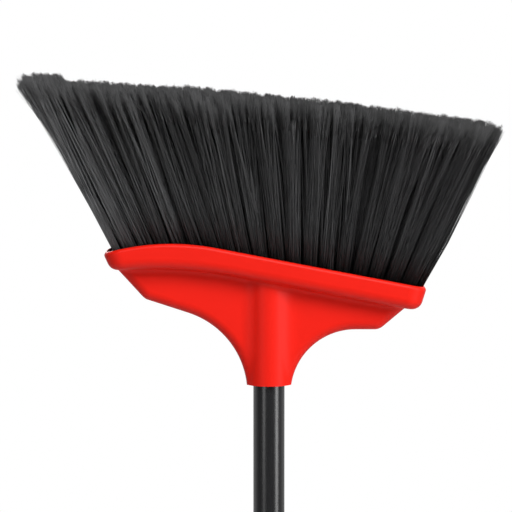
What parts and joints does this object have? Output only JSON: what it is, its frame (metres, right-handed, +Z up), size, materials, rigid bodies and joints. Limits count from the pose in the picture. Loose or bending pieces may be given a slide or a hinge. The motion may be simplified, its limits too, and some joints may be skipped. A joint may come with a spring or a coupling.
{
  "type": "angle broom",
  "caption": "Angle broom: a flared red moulded head with a sloping fan of charcoal bristles, on a long gloss black tube handle that screws into its socket and ends in a swivelling hang cap.",
  "frame": {"origin": "on the handle's axis at the mouth of the head's socket, where the handle's full-width tube begins", "axes": "+Z runs up the handle's axis to the bristle tips, +X to the heel, the lower end of the bristle slope, -X to the toe, and -Y to the front"},
  "size_m": [0.3393, 0.0766, 1.4482],
  "materials": {
    "red_moulding": "satin injection-moulded red polypropylene",
    "block_plastic": "plain black polypropylene",
    "bristle_fibre": "charcoal synthetic fibre, paler where the tips are flagged",
    "anchor_wire": "flat steel wire",
    "black_gloss_coat": "gloss black coat on steel tube",
    "black_plastic": "satin black plastic"
  },
  "bodies": {
    "head": {"head_cap": "red_moulding", "bristle_block": "block_plastic", "tuft_anchors": "anchor_wire", "tuft_column_01": "bristle_fibre", "tuft_column_02": "bristle_fibre", "tuft_column_03": "bristle_fibre", "tuft_column_04": "bristle_fibre", "tuft_column_05": "bristle_fibre", "tuft_column_06": "bristle_fibre", "tuft_column_07": "bristle_fibre", "tuft_column_08": "bristle_fibre", "tuft_column_09": "bristle_fibre", "tuft_column_10": "bristle_fibre", "tuft_column_11": "bristle_fibre", "tuft_column_12": "bristle_fibre", "tuft_column_13": "bristle_fibre", "tuft_column_14": "bristle_fibre", "tuft_column_15": "bristle_fibre", "tuft_column_16": "bristle_fibre", "tuft_column_17": "bristle_fibre", "tuft_column_18": "bristle_fibre", "tuft_column_19": "bristle_fibre"},
    "hanger": {"hang_cap": "black_plastic"},
    "handle": {"handle_tube": "black_gloss_coat", "threaded_tip": "black_plastic"}
  },
  "joints": [
    {"name": "handle_draw", "type": "slide", "parent": "head", "child": "hanger", "axis": [0, 0, -1], "range_m": [0, 0.0254]},
    {"name": "handle_unscrew", "type": "hinge", "parent": "hanger", "child": "handle", "pos_m": [0, 0, 0], "axis": [0, 0, -1], "range_deg": [0, 1800]}
  ],
  "couplings": [
    {"joint": "handle_unscrew", "follows": "handle_draw", "rad_per_m": 1236.8}
  ]
}
